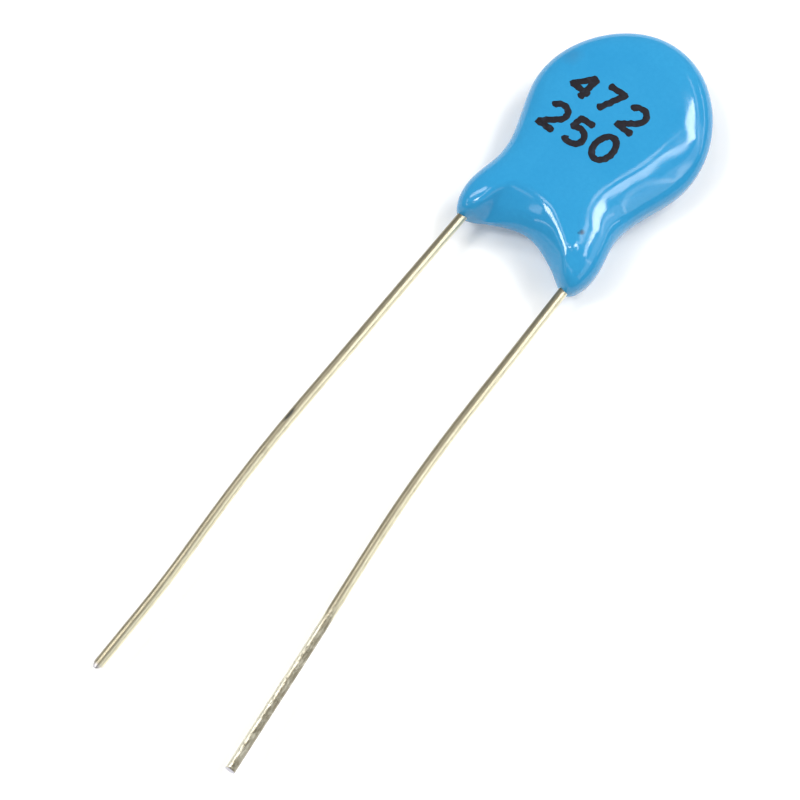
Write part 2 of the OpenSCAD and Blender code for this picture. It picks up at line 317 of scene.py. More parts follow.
# Each wave's advance for a millimetre of x and of y, its phase and its share of the height
RIPPLES = ((1.9, 0.7, 0.4, 1.0), (-1.1, 1.7, 2.1, 0.8), (2.9, -2.3, 1.2, 0.5))


def dip_ripple(x, y):
    """How much the skin swells or sinks by its own tension, in millimetres: a few long waves
    across the coat, which fade out on the flat middle of the plate."""
    swell, flat_radius, fade_width = 0.004, 3.2, 2.2
    fade = np.clip((np.hypot(x, y) - flat_radius) / fade_width, 0, 1)
    waves = sum(share * np.sin(by_x * x + by_y * y + phase)
                for by_x, by_y, phase, share in RIPPLES)
    return swell * fade * waves


def nib(x, y):
    """A bead of epoxy over a grain of dust beside the right wire: a bell curve, the exponential
    of minus half the squared distance over the squared width."""
    nib_x, nib_y, rise, width = 2.75, -8.35, 0.085, 0.16
    return rise * np.exp(-((x - nib_x) ** 2 + (y - nib_y) ** 2) / (2 * width ** 2))


def rings_at(count, first=3):
    """x and y on all rays for one face's rings, which lie closer together towards the edge. The
    pole's triangles take the place of those before the first one."""
    share = np.sin(np.pi / 2 * np.arange(first, count) / count)[:, None]
    return edge_x * share, edge_y * share


RAYS, FRONT_RINGS, BACK_RINGS = 560, 110, 60
angle = even_angles(RAYS)
edge_x, edge_y = on_rays(angle, outline_reach(angle))
x, y = rings_at(FRONT_RINGS)
height = skin_height(x, y) * (1 + dip_ripple(x, y) / half_thickness) + nib(x, y)
front = np.stack([x, y, half_thickness + height], axis=-1)
rim = np.stack([edge_x, edge_y, np.full(RAYS, half_thickness)], axis=-1)[None]
x, y = rings_at(BACK_RINGS)
back = np.stack([x, y, half_thickness - skin_height(-x, y)], axis=-1)[::-1]
epoxy_coat = closed_piece("epoxy_coat", np.concatenate([front, rim, back]),
                          [0, 0, 2 * half_thickness], [0, 0, 0])
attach(epoxy_coat, "root")
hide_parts("coating")

# %% [markdown]
# ## The wires
#
# Each wire is copper-clad steel with a tin plating, 0.6 mm thick. It lies on the plate, bends
# back to the middle plane under it, and then runs out of the coat with the gentle bows that
# handling gave it. A wire is a circle carried along a path, so the path comes first: a list of
# straight lengths, each followed by a bend with its angle, radius and side. The same list draws
# the solid, so the fine wire lies where the solid does, but for its own small wandering. The kink
# is two equal bends with a straight length between them. They shift the wire by `kink_shift` over
# a fall of `kink_fall`, and that gives the straight length and the angle.

# %% The path of a wire
def about_z(angle):
    """Turning about the third axis: the usual cosine and sine square, for one angle."""
    c, s = np.cos(angle), np.sin(angle)
    return np.array([[c, -s, 0], [s, c, 0], [0, 0, 1.0]])


def about_y(angle):
    """Turning about the second axis, for a whole array of angles at once."""
    c, s, zero = np.cos(angle), np.sin(angle), np.zeros_like(angle)
    return np.stack([np.stack([c, zero, s], -1), np.stack([zero, zero + 1, zero], -1),
                     np.stack([-s, zero, c], -1)], -2)


def wire_path(steps, spacing):
    """Centres (n, 3), frames (n, 3, 3) and distances (n) along a wire that starts downwards. A
    straight length adds its direction times the distance. A bend of radius r turns about the
    point r away to its side."""
    centre = np.array([seat_x, seat_top, wire_level])
    turn = np.array([[1, 0, 0], [0, 0, -1.0], [0, 1, 0]])
    centres, frames = [centre[None]], [turn[None]]
    for length, degrees, radius, side in steps:
        along = np.linspace(0, length, max(2, int(length / spacing) + 2))[1:]
        centres.append(centre + along[:, None] * turn[:, 2])
        frames.append(np.repeat(turn[None], len(along), axis=0))
        centre = centres[-1][-1]
        if degrees > 0:
            bend = np.radians(degrees)
            part = np.linspace(0, bend, max(4, int(radius * bend / spacing) + 2))[1:]
            to_side = about_z(np.radians(side))
            turned = about_y(part)
            arm = np.array([radius, 0, 0]) - turned @ np.array([radius, 0, 0])
            centres.append(centre + arm @ (turn @ to_side).T)
            frames.append(turn @ (to_side @ turned @ to_side.T))
            centre, turn = centres[-1][-1], frames[-1][-1]
    centres = np.concatenate(centres)
    return centres, np.concatenate(frames), travelled(centres)


OUT, IN = 0, 180
seat_inset, wire_stub = 2, 0.6
solder_edge, solder_foot = 0.25, 1.7
seat_x = plate_radius - seat_inset
wire_level = plate_high.z / MM - half_thickness + electrode_thickness + wire_radius
solder_reach = plate_radius - electrode_margin - solder_edge - solder_foot / 2
seat_top = np.sqrt(solder_reach ** 2 - seat_x ** 2) + wire_stub
seat_bottom = -np.sqrt(plate_radius ** 2 - seat_x ** 2) - wire_radius
kink_end = hip_y + 2 * wire_radius
kink_radius = 1.6
kink_fall = seat_bottom - kink_end
kink_shift = np.hypot(lead_x - seat_x, wire_level)
kink_straight = np.sqrt(kink_fall ** 2 + kink_shift ** 2 - 4 * kink_radius * kink_shift)
kink_angle = np.degrees(np.arctan2(2 * kink_radius, kink_straight)
                        - np.arctan2(2 * kink_radius - kink_shift, kink_fall))
kink_side = np.degrees(np.arctan2(-wire_level, lead_x - seat_x))
splay, splay_radius = 0.5, 30
hidden_steps = [
    (seat_top - seat_bottom, kink_angle, kink_radius, kink_side),
    (kink_straight, kink_angle, kink_radius, kink_side + 180),
    (kink_end - tip_y, splay, splay_radius, OUT),
]


def whole_wire(bows, length):
    """All the steps of a wire: the hidden ones, the bows below the coat, and a last straight
    length that brings the wire below the coat to the given length. A bend is as long as its
    radius times its angle."""
    used = sum(straight + radius * np.radians(degrees) for straight, degrees, radius, _ in bows)
    return hidden_steps + bows + [(length - used, 0, 0, 0)]


free_length, right_trim = 32.8, 0.25
left_steps = whole_wire([(13.3, 4.5, 140, IN), (0.7, 3.2, 75, OUT)], free_length)
right_steps = whole_wire([(8.3, 5.8, 90, OUT)], free_length - right_trim)
print(f"a kink of {kink_angle:.1f} degrees brings each wire back to the middle plane")

# %% [markdown]
# ## From path to wire
#
# The left wire was nipped off, which leaves a blunt wedge, and the right one was sheared a
# little aslant. Both were straightened between rollers and pushed about in a bag, so they aren't
# perfect: each wanders by a few hundredths of a millimetre, and the lower part of the right wire
# was gripped by a tool, which pressed slight flats into it. The pattern coordinates run round and
# along the wire in millimetres, because the streaks in the tin follow the drawing direction.
# Marks on the points tell the finish where the wire is scuffed, bare or stained, and which side of
# it takes painted shade, a dark reflection put into the colour.

# %% Make the wires
AROUND, SPACING = 40, 0.12
# Each wave by which a wire wanders: the advance along the wire for one radian, and its share
WANDERINGS = ((1.9, 0.4), (3.7, 1.0), (6.1, 1.0))
# The two small rings that close a wire's end: their size and the step to them along the pattern
END_RINGS = ((0.94, 0.02), (0.88, 0.03))
nip_length, nip_half_edge = 0.25, 0.1
slant_length, blunt = 0.8, 0.02


def wander(along, seed):
    """Small sideways wandering of a wire, in millimetres: three slow sine waves that start
    where the wire leaves the coat."""
    sway, coat_end, fade = 0.02, 13, 6
    phases = np.random.default_rng(seed).uniform(0, 2 * np.pi, 3)
    free = ease((along - coat_end) / fade)
    return sway * free * sum(share * np.sin(along / advance + phase)
                             for (advance, share), phase in zip(WANDERINGS, phases))


def tool_flats(angle, along, start, end):
    """How much a gripped stretch is pressed in, in millimetres: two opposite flats, a wave of
    two crests round the wire, that fade in and out along it, with the dents of the jaws."""
    depth, fade, first_flat, dent_pitch = 0.018, 1.2, 0.6, 5.1
    grip = ease((along - start) / fade) * ease((end - along) / fade)
    dents = 0.75 + 0.25 * np.sin(along * dent_pitch)
    return depth * grip * dents * (0.5 - 0.5 * np.cos(2 * (angle - first_flat)))


def wire_marks(angle, lengths, face, nip, grip, stain_at):
    """What the finish has to know about each point, by name. `scuff` rises from 0 to 1 where a
    tool gripped the wire. `bare` is 1 on the cut end and 0.7 on the wedge before it.
    `painted_shade` is painted shade, a dark reflection put into the colour: the cosine of the
    angle from the darker side, which is the upper left one, and the upper right one where the wire
    is scuffed. It grows from three quarters where the wire starts to full at its end. `stain` is a
    bell curve along the wire times one round it."""
    whole, lengths = lengths[-1], lengths[:, None]
    scuff, bare, stain = np.zeros_like(lengths), np.zeros_like(lengths), np.zeros_like(lengths)
    if grip:
        early, fade = 0.8, 2.6
        scuff = ease((lengths - grip[0] + early) / fade)
    if nip:
        wedge, fade, cut = 0.3, 0.15, lengths[-1 - len(END_RINGS)]
        bare = ease((wedge - cut + lengths) / fade) * 0.7
    bare[-len(END_RINGS):] = 1
    # Painted shade: how far one side of each wire is darkened in the colour, standing in for the
    # dark reflection of the room.
    upper_left, upper_right = np.radians([45, 135] if face > 0 else [225, 315])
    dull = np.cos(angle - upper_left) * (1 - scuff) + np.cos(angle - upper_right) * scuff
    dull = np.clip(dull, 0, 1) * (0.75 + 0.25 * lengths / whole)
    if stain_at:
        stain_angle, long, wide = 1.2, 0.55, 0.4
        stain = np.exp(-((lengths - stain_at) / long) ** 2
                       - ((angle - stain_angle) / wide) ** 2)
    return {"scuff": scuff, "bare": bare, "painted_shade": dull, "stain": stain}


def make_wire(name, steps, face, seed, nip=False, slant=0.0, grip=None, stain_at=None):
    """A round wire: centre + side times r cos(angle) + up times r sin(angle). `face` is 1 for
    the wire on the front and -1 for the one on the back, which swaps the mirrored axis. A nipped
    wire ends in a wedge. A slanted one is cut back by `slant` for each millimetre of height. Two
    smaller rings and a pole close the end."""
    centres, frames, along = wire_path(steps, SPACING)
    side, up, forward = (frames[:, None, :, k] for k in range(3))
    angle = np.linspace(0, 2 * np.pi, AROUND, endpoint=False)
    radius = np.full((len(along), AROUND), wire_radius)
    if grip:
        radius = radius - tool_flats(angle, along[:, None], *grip)
    across, upward = radius * np.cos(angle), radius * np.sin(angle)
    to_end = along[-1] - along[:, None]
    if nip:
        half_width = np.interp(to_end, [0, nip_length], [nip_half_edge, wire_radius])
        across = np.clip(across, -half_width, half_width)
    middle = centres + side[:, 0] * wander(along, seed)[:, None]
    rings = middle[:, None] + across[..., None] * side + upward[..., None] * up
    near_end = ease(1 - to_end / slant_length)[..., None]
    height = wire_radius + face * (rings - middle[:, None])[..., 2:]
    rings = rings - near_end * (slant * height) * forward
    tip = rings[-1].mean(axis=0)
    caps = [(rings[-1:] - tip) * share + tip for share, _ in END_RINGS]
    rings[-1] -= forward[-1] * blunt
    rings = np.concatenate([rings, *caps])
    lengths = np.append(along, [along[-1] + step for _, step in END_RINGS])
    turns = np.append(angle, 2 * np.pi) * wire_radius
    pattern = np.stack(np.broadcast_arrays(turns[None], lengths[:, None]), axis=-1)
    mirror = np.array([-1, 1, 1]) if face > 0 else np.array([1, 1, -1])
    place = np.array([0, 0, half_thickness])
    made = closed_piece(name, rings * mirror + place, middle[0] * mirror + place,
                        tip * mirror + place, pattern)
    for mark, share in wire_marks(angle, lengths, face, nip, grip, stain_at).items():
        share = np.broadcast_to(share, rings.shape[:2])
        values = np.append(share.ravel(), [0, share[-1, 0]])
        made.data.attributes.new(mark, "FLOAT", "POINT").data.foreach_set("value", values)
    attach(made, "root")
    return made


wire_left = make_wire("left_wire", left_steps, 1, 7, nip=True, stain_at=28.6)
wire_right = make_wire("right_wire", right_steps, -1, 11, slant=0.36, grip=(35.5, 60))
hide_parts("left_lead")
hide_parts("right_lead")
for made, node_name in ((wire_left, "left_lead"), (wire_right, "right_lead")):
    low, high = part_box(node_name)
    corners = np.array([v.co for v in made.data.vertices])
    print(made.name, "differs from its solid's box by at most",
          round(float(max(np.abs(corners.min(0) - low).max(),
                          np.abs(corners.max(0) - high).max())) / MM, 3), "mm")

# %% [markdown]
# ## The printed numbers
#
# A rubber stamp puts two rows of black figures on the flat face. The stamp's ink lies on the
# epoxy as a film about a hundredth of a millimetre thick, with swollen ends and frayed edges.
# Painted into the colour it would blur, so each stroke is a thin closed strip on the skin: a
# path in the plane, widened to both sides, with round ends. The figures here are plain numbers.

# %% The figures' strokes
def straight(*corners, steps=24):
    """Points along a line through the corners, with so many steps to each stretch."""
    corners = np.array(corners, float)
    t = np.linspace(0, len(corners) - 1, steps * (len(corners) - 1) + 1)
    return np.stack([np.interp(t, np.arange(len(corners)), corners[:, k]) for k in (0, 1)], -1)


def bow(centre, radii, start, end, count=60):
    """Points on an ellipse: centre + radii times cosine and sine, from start to end degrees."""
    t = np.radians(np.linspace(start, end, count))
    return np.array(centre) + np.array(radii) * np.stack([np.cos(t), np.sin(t)], axis=-1)


FIGURES = {
    "0": [bow((0.35, 0.5), (0.33, 0.5), 60, 440)],
    "2": [np.vstack([bow((0.36, 0.70), (0.31, 0.30), 170, -38),
                     straight((0.58, 0.48), (0.03, 0.02)),
                     straight((0.03, 0.02), (0.70, 0.0))])],
    "4": [straight((0.56, 1.0), (0.0, 0.32), (0.74, 0.30)), straight((0.55, 1.0), (0.53, 0.0))],
    "5": [np.vstack([straight((0.66, 1.0), (0.12, 0.98), (0.08, 0.56)),
                     bow((0.34, 0.32), (0.34, 0.32), 128, -140)])],
    "7": [straight((0.0, 0.96), (0.68, 1.0), (0.26, 0.0))],
}
print("figures with", sum(len(strokes) for strokes in FIGURES.values()), "strokes in all")

# %% Press them onto the skin
def along_evenly(path, count):
    """The same path as `count` points at equal distances, and its whole length."""
    length = travelled(path)
    even = np.linspace(0, length[-1], count)
    return np.stack([np.interp(even, length, path[:, k]) for k in (0, 1)], -1), length[-1]


def ink_strip(path, stroke, seed, rows=90, columns=16):
    """Rings of a flat closed strip round a path. Each ring is an ellipse across the path, half a
    stroke to each side. Near both ends the ink swells, then the half width falls as a circle
    does, and slow random waves fray both sides."""
    swelling, swell_at, swell_length, end_length = 0.16, 0.16, 0.14, 0.42 * stroke
    waves, frayed, middle_rise, ink_rise = (2, 4), 0.045, 0.004, 0.009
    path, length = along_evenly(path, rows)
    chance = np.random.default_rng(seed)
    t = np.linspace(0, length, len(path))
    from_end = np.minimum(t, length - t)
    swell = 1 + swelling * np.exp(-((from_end - swell_at) / swell_length) ** 2)
    round_end = np.sqrt(np.clip(1 - np.clip(1 - from_end / end_length, 0, 1) ** 2, 0.002, 1))
    phase = chance.uniform(0, 2 * np.pi, waves)
    pitch = chance.uniform(4, 19, waves)
    fray = 1 + frayed * np.sin(t[:, None, None] * pitch + phase).sum(axis=-1)
    forward = np.gradient(path, axis=0)
    forward /= np.linalg.norm(forward, axis=1)[:, None]
    left = np.stack([-forward[:, 1], forward[:, 0]], axis=-1)
    turn = np.linspace(0, 2 * np.pi, columns, endpoint=False)
    side = np.cos(turn)
    half = stroke / 2 * swell * round_end
    width = half[:, None] * np.where(side > 0, fray[:, :1], fray[:, 1:])
    spot = path[:, None] + (width * side)[..., None] * left[:, None]
    rise = middle_rise + ink_rise * np.sin(turn) * round_end[:, None]
    level = half_thickness + skin_height(spot[..., 0], spot[..., 1]) + rise
    return np.concatenate([spot, level[..., None]], axis=-1)


FIGURE_SIZE, STROKE, LEAN = 1.72, 0.41, np.radians(4)
FIGURE_CENTRE = np.array([0.35, 0.5])
# Each figure with the place of its centre on the face, row by row
FIGURE_PLACES = [
    ("4", -2.80, 0.18), ("7", -1.10, 0.30), ("2", 0.78, 0.22),
    ("2", -3.00, -2.46), ("5", -1.30, -2.44), ("0", 0.52, -2.34),
]
strips = []
for figure, across, up in FIGURE_PLACES:
    for stroke in FIGURES[figure]:
        flat = (stroke - FIGURE_CENTRE) * FIGURE_SIZE
        flat[:, 0] += np.tan(LEAN) * flat[:, 1]
        strips.append(ink_strip(flat + np.array([across, up]), STROKE, len(strips)))
strips = np.array(strips)
count, rows, columns = strips.shape[:3]
points = np.concatenate([strips.reshape(count, -1, 3), strips[:, :1].mean(axis=2),
                         strips[:, -1:].mean(axis=2)], axis=1)
quads, ends = (np.concatenate([faces + strip * points.shape[1] for strip in range(count)])
               for faces in grid_faces(rows, columns))
printed_numbers = mesh_object("printed_numbers", points.reshape(-1, 3), quads, ends)
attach(printed_numbers, "root")
print(count, "strokes of ink")

# %% [markdown]
# ## Finishes
#
# Every finish is a Principled shader fed by procedural textures on Object coordinates, which are
# metres here, so a texture with a scale of 1000 has a feature in every millimetre. Small helpers
# keep the recipes short: one adds a node and links its inputs, others start a material, stretch a
# value, lay one colour over another, or feed the shader.

# %% Helpers for finishes
def add(tree, kind, inputs=None, **settings):
    """Adds a node. `inputs` are values, or sockets of other nodes that are linked in."""
    made = tree.nodes.new(kind)
    for name, value in settings.items():
        setattr(made, name, value)
    for name, value in (inputs or {}).items():
        if isinstance(value, bpy.types.NodeSocket):
            tree.links.new(value, made.inputs[name])
        else:
            made.inputs[name].default_value = value
    return made


def new_finish(name, **sockets):
    """A material with its Principled shader, whose plain numbers are set on its own sockets."""
    finish = bpy.data.materials.new(name)
    finish.use_nodes = True
    shader = finish.node_tree.nodes["Principled BSDF"]
    for socket, value in sockets.items():
        shader.inputs[socket.replace("_", " ")].default_value = value
    return finish, finish.node_tree, shader


def noise(tree, vector, scale, detail=2.0, roughness=0.5, distortion=0.0):
    """A noise texture's value on the given coordinates."""
    made = add(tree, "ShaderNodeTexNoise", {"Vector": vector, "Scale": scale, "Detail": detail,
                                            "Roughness": roughness, "Distortion": distortion})
    return made.outputs["Fac"]


def remap(tree, value, low, high, to_low=0.0, to_high=1.0):
    """Stretches a value from the range low..high to the range to_low..to_high, held inside it."""
    made = add(tree, "ShaderNodeMapRange", {"Value": value, "From Min": low, "From Max": high,
                                            "To Min": to_low, "To Max": to_high})
    return made.outputs["Result"]


def blend_colours(tree, share, first, second):
    """first where the share is 0, second where it is 1."""
    made = add(tree, "ShaderNodeMix", data_type="RGBA")
    for socket, value in ((made.inputs["Factor"], share), (made.inputs[6], first),
                          (made.inputs[7], second)):
        if isinstance(value, bpy.types.NodeSocket):
            tree.links.new(value, socket)
        else:
            socket.default_value = value
    return made.outputs[2]


def combine(tree, operation, first, second):
    """One Math node."""
    made = add(tree, "ShaderNodeMath", {0: first, 1: second}, operation=operation)
    return made.outputs[0]


def tint(tree, below, share, strength, colour):
    """Lays a colour over the one below, by the share times the strength."""
    return blend_colours(tree, combine(tree, "MULTIPLY", share, strength), below, colour)


def relief(tree, height, distance, below=None):
    """A Bump node for a height of so many metres, on top of the bump below it."""
    inputs = {"Height": height, "Strength": 1.0, "Distance": distance}
    if below is not None:
        inputs["Normal"] = below
    return add(tree, "ShaderNodeBump", inputs).outputs["Normal"]


def feed(shader, **sockets):
    """Links values into a shader's sockets, whose names have an underscore for each space."""
    for socket, value in sockets.items():
        shader.id_data.links.new(value, shader.inputs[socket.replace("_", " ")])


def dress(piece, finish):
    """Puts a finish into every material slot of a piece, or adds the first slot."""
    if not piece.material_slots:
        piece.data.materials.append(finish)
    for place in piece.material_slots:
        place.material = finish


print("helpers are ready")

# %% [markdown]
# ## Blue epoxy
#
# Dipping epoxy is opaque, full of fine filler, and glossy because it sets by itself. Its blue
# isn't quite even: the filler clouds it a little, the grains show as a faint mottle, and the skin
# has shallow orange peel that makes the lamps' reflections waver. There is one dark speck by the
# right wire and a faint grey smudge near the left edge, where the part was handled.

# %% Mix the epoxy
CLEAR_BLUE, CLOUDED_BLUE = (0.025, 0.300, 0.600, 1), (0.032, 0.326, 0.628, 1)
GRAIN_BLUE = (0.018, 0.262, 0.555, 1)
SPECK, SMUDGE = (0.015, 0.070, 0.150, 1), (0.06, 0.14, 0.26, 1)


def spot(tree, place, centre, radius, soft, wobble):
    """1 inside a ragged spot and 0 outside: the distance from its centre plus the noise `wobble`
    times its radius, faded over `soft` radii to both sides of 1.5 radii. All in millimetres."""
    away = add(tree, "ShaderNodeVectorMath", {0: place, 1: [c * MM for c in centre]},
               operation="DISTANCE").outputs["Value"]
    ragged = add(tree, "ShaderNodeMath", {0: wobble, 1: radius * MM, 2: away},
                 operation="MULTIPLY_ADD").outputs[0]
    return remap(tree, ragged, radius * MM * (1.5 - soft), radius * MM * (1.5 + soft), 1.0, 0.0)


epoxy, tree, shader = new_finish("blue_epoxy", IOR=1.5, Roughness=0.1)
place = add(tree, "ShaderNodeTexCoord").outputs["Object"]
cloud = remap(tree, noise(tree, place, 260, 3.0), 0.3, 0.7)
grain = remap(tree, noise(tree, place, 3800, 2.0, 0.7), 0.3, 0.7)
blue = blend_colours(tree, cloud, CLEAR_BLUE, CLOUDED_BLUE)
blue = tint(tree, blue, grain, 0.35, GRAIN_BLUE)
ragged = noise(tree, place, 2600, 3.0, 0.6)
speck = combine(tree, "MAXIMUM", spot(tree, place, (2.63, -7.31, 3.62), 0.14, 0.5, ragged),
                spot(tree, place, (2.51, -7.46, 3.62), 0.08, 0.6, ragged))
blue = tint(tree, blue, speck, 0.9, SPECK)
smudge = spot(tree, place, (-4.59, 1.41, 3.5), 0.42, 0.9, ragged)
blue = tint(tree, blue, smudge, 0.25, SMUDGE)
polish = remap(tree, noise(tree, place, 900, 3.0), 0.3, 0.7, 0.07, 0.14)
peel = relief(tree, noise(tree, place, 700, 1.0), 0.007 * MM)
peel = relief(tree, noise(tree, place, 3000, 1.5), 0.0012 * MM, peel)
feed(shader, Base_Color=blue, Roughness=polish, Normal=peel)
dress(epoxy_coat, epoxy)
print("epoxy:", len(tree.nodes), "nodes")

# %% [markdown]
# ## Tinned wire
#
# Tin plating on drawn wire is bright but not a mirror. Its reflections are drawn out along the
# wire by fine lines from the die, it yellows slightly as it ages, and rubbing leaves dull grey and
# brownish patches. The streaks are noise on the wire's own coordinates, squeezed along the wire.
# Four marks on the points bring the rest: `scuff` is 1 where the right wire was gripped and torn,
# `painted_shade` is 1 on the side of each wire where a dark brownish reflection is painted into
# the colour as shade, `bare` is 1 on the fresh metal of the cut ends, and `stain` is 1 on one dark
# stain half way down the left wire.

# %% Plate the wires
BRIGHT_TIN, YELLOW_TIN = (0.92, 0.88, 0.68, 1), (0.82, 0.77, 0.56, 1)
WORN_TIN, SCUFFED_TIN = (0.42, 0.38, 0.27, 1), (0.80, 0.79, 0.71, 1)
# Of the next line, the first colour is painted shade, a dark reflection put into one side of each
# wire. The second is the torn tin of the gripped stretch.
PAINTED_SHADE_TIN, TORN_TIN = (0.25, 0.22, 0.15, 1), (0.20, 0.18, 0.12, 1)
BARE_METAL, STAIN = (0.60, 0.59, 0.66, 1), (0.10, 0.10, 0.09, 1)
tin, tree, shader = new_finish("tinned_wire", Metallic=1.0, Roughness=0.3)
around_along = add(tree, "ShaderNodeUVMap", uv_map="along_the_wire").outputs["UV"]
scuff, bare, painted_shade, stain = (
    add(tree, "ShaderNodeAttribute", attribute_name=mark).outputs["Fac"]
    for mark in ("scuff", "bare", "painted_shade", "stain"))


def drawn_noise(tree, across, along, detail=2.0, roughness=0.6, distortion=0.0):
    """Noise with so many features to the millimetre round the wire and along it."""
    made = add(tree, "ShaderNodeMapping", {"Vector": around_along, "Scale": (across, along, 1.0)})
    return noise(tree, made.outputs["Vector"], 1.0, detail, roughness, distortion)


streaks = remap(tree, drawn_noise(tree, 9.0, 0.35, 3.0), 0.32, 0.68)
patches = remap(tree, drawn_noise(tree, 2.2, 0.9, 4.0, 0.65, 0.6), 0.50, 0.68)
bites = remap(tree, drawn_noise(tree, 5.0, 3.2, 4.0, 0.7, 0.8), 0.56, 0.64)
# Painted shade: the side of each wire that reflects the darker room is darkened in the colour. It
# is stronger towards the far end and blotchy where the wire is scuffed.
blotch = remap(tree, drawn_noise(tree, 3.0, 1.6, 3.0, 0.65, 0.4), 0.34, 0.54, 0.45, 1.0)
blotch = combine(tree, "MAXIMUM", blotch, combine(tree, "SUBTRACT", 1.0, scuff))
dull = combine(tree, "MULTIPLY", remap(tree, painted_shade, 0.2, 0.6), blotch)
torn = combine(tree, "MULTIPLY", bites, scuff)
warm = blend_colours(tree, streaks, BRIGHT_TIN, YELLOW_TIN)
warm = tint(tree, warm, patches, 0.35, WORN_TIN)
warm = tint(tree, warm, scuff, 0.6, SCUFFED_TIN)
warm = tint(tree, warm, dull, 0.85, PAINTED_SHADE_TIN)
warm = tint(tree, warm, torn, 0.5, TORN_TIN)
warm = blend_colours(tree, bare, warm, BARE_METAL)
warm = blend_colours(tree, remap(tree, stain, 0.25, 0.75), warm, STAIN)
polish = remap(tree, drawn_noise(tree, 4.0, 1.1, 3.0), 0.3, 0.7, 0.32, 0.46)
worked = combine(tree, "MULTIPLY", drawn_noise(tree, 4.0, 2.6, 3.0, 0.6, 0.5), scuff)
lines = relief(tree, drawn_noise(tree, 14.0, 0.5, 3.0), 0.005 * MM)
lines = relief(tree, worked, 0.012 * MM, lines)
lines = relief(tree, torn, -0.014 * MM, lines)
feed(shader, Base_Color=warm, Roughness=polish, Normal=lines)
dress(wire_left, tin)
dress(wire_right, tin)
print("tin:", len(tree.nodes), "nodes")

# %% [markdown]
# ## Stamping ink
#
# The ink is a matt black that has dried unevenly. It is thinner in places, where a breath of the
# blue below shows, and its surface is slightly rough.

# %% Ink the stamp
ink, tree, shader = new_finish("stamping_ink", Roughness=0.5, Specular_IOR_Level=0.2)
place = add(tree, "ShaderNodeTexCoord").outputs["Object"]
thin = remap(tree, noise(tree, place, 2800, 3.0, 0.65), 0.52, 0.74)
feed(shader, Base_Color=tint(tree, (0.010, 0.008, 0.013, 1), thin, 0.5, (0.030, 0.040, 0.060, 1)),
     Roughness=remap(tree, noise(tree, place, 1900, 2.0), 0.3, 0.7, 0.38, 0.6),
     Normal=relief(tree, noise(tree, place, 4200, 2.0), 0.005 * MM))
dress(printed_numbers, ink)
print("ink:", len(tree.nodes), "nodes")

# %% [markdown]
# ## The sealed parts
#
# The plate, its silver and the solder are never seen unless the coat is cut open, but whoever
# opens this model finds them finished too. The plate is fired barium titanate, a matt tan with
# darker grains. The silver is a dull, slightly brushed film. The solder has frozen with a satin,
# faintly crystalline skin.

# %% Finish the sealed parts
def fired_ceramic():
    """Tan, grainy and matt."""
    finish, tree, shader = new_finish("fired_ceramic", Roughness=0.75, IOR=1.6)
    place = add(tree, "ShaderNodeTexCoord").outputs["Object"]
    grains = remap(tree, noise(tree, place, 5200, 3.0, 0.7), 0.35, 0.65)
    tan = blend_colours(tree, grains, (0.60, 0.44, 0.29, 1), (0.46, 0.31, 0.19, 1))
    feed(shader, Base_Color=tan, Normal=relief(tree, noise(tree, place, 9000, 2.0), 0.004 * MM))
    return finish


def soft_metal(name, bright, dull, scale, rough, depth):
    """A metal with two tones of grey, blended by noise, and a little relief."""
    finish, tree, shader = new_finish(name, Metallic=1.0, Roughness=rough)
    place = add(tree, "ShaderNodeTexCoord").outputs["Object"]
    tone = remap(tree, noise(tree, place, scale, 3.0, 0.6), 0.35, 0.65)
    feed(shader, Base_Color=blend_colours(tree, tone, bright, dull),
         Roughness=remap(tree, tone, 0.0, 1.0, rough - 0.08, rough + 0.1),
         Normal=relief(tree, noise(tree, place, scale * 2, 2.0), depth))
    return finish


dress(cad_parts["ceramic_disc"], fired_ceramic())
fired_silver = soft_metal("fired_silver", (0.80, 0.79, 0.76, 1), (0.62, 0.61, 0.58, 1),
                          scale=6000, rough=0.5, depth=0.003 * MM)
frozen_solder = soft_metal("frozen_solder", (0.60, 0.61, 0.62, 1), (0.44, 0.45, 0.47, 1),
                           scale=2400, rough=0.3, depth=0.010 * MM)
for node_name in ("front_electrode", "back_electrode"):
    dress(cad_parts[node_name], fired_silver)
for node_name in ("front_solder", "back_solder"):
    dress(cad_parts[node_name], frozen_solder)
print("sealed parts: ceramic, silver and solder")

# %% [markdown]
# ## White paper
#
# The part lies on plain white paper. The paper is a white diffuse floor, so that it holds the
# part's soft shadow, plus a little light of its own for rays from the camera and for reflections,
# which lifts the unshaded paper to pure white. Far from the part the lamps shine less on it, so
# its own light is stronger there.

# %% Lay the paper
PAPER_HALF, PAPER_LEVEL = 3.0, -0.02 * MM
CORNERS = ((-1, -1), (1, -1), (1, 1), (-1, 1))
paper_mesh = bpy.data.meshes.new("paper")
paper_mesh.from_pydata([(x * PAPER_HALF, y * PAPER_HALF, PAPER_LEVEL) for x, y in CORNERS],
                       [], [(0, 1, 2, 3)])
paper = new_object("paper", paper_mesh)
white = bpy.data.materials.new("white_paper")
white.use_nodes = True
tree = white.node_tree
tree.nodes.clear()
path = add(tree, "ShaderNodeLightPath")
seen = combine(tree, "MAXIMUM", path.outputs["Is Camera Ray"], path.outputs["Is Glossy Ray"])
seen = combine(tree, "MAXIMUM", seen, path.outputs["Is Transmission Ray"])
place = add(tree, "ShaderNodeTexCoord").outputs["Object"]
away = add(tree, "ShaderNodeVectorMath", {0: place}, operation="LENGTH").outputs["Value"]
near, far = 0.06, 0.4
own_light = remap(tree, away, near, far, 0.12, 0.75)
lift = add(tree, "ShaderNodeEmission", {"Strength": combine(tree, "MULTIPLY", seen, own_light)})
matt = add(tree, "ShaderNodeBsdfDiffuse", {"Color": (0.9, 0.9, 0.9, 1)})
both = add(tree, "ShaderNodeAddShader", {0: matt.outputs[0], 1: lift.outputs[0]})
add(tree, "ShaderNodeOutputMaterial", {"Surface": both.outputs[0]})
paper.data.materials.append(white)
print("paper at", PAPER_LEVEL / MM, "mm")

